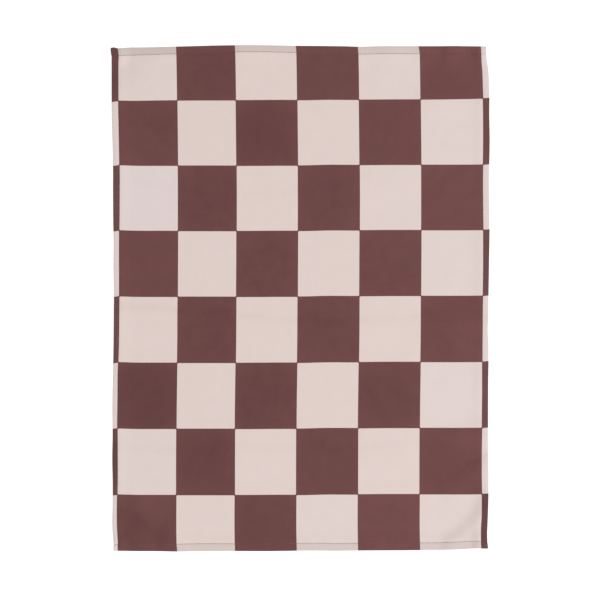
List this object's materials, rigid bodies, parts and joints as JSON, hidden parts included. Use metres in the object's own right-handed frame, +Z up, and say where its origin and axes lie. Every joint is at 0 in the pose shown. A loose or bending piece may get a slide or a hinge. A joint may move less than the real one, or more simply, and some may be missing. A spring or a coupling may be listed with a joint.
{
  "type": "tea towel",
  "caption": "Hemmed printed cotton tea towel with a large checkerboard, lying flat and slightly creased, for drying dishes and glasses.",
  "frame": {"origin": "middle of the bounding box's base, on the surface that the towel lies on", "axes": "+X across the towel's width, +Y along its length, +Z up from the surface, out of the printed face"},
  "size_m": [0.5044, 0.6748, 0.0075],
  "materials": {
    "cotton": "plain-woven cotton printed on its face in large checks of pale pinkish beige and dark red-brown, matt"
  },
  "bodies": {
    "root": {"towel": "cotton"}
  },
  "joints": []
}
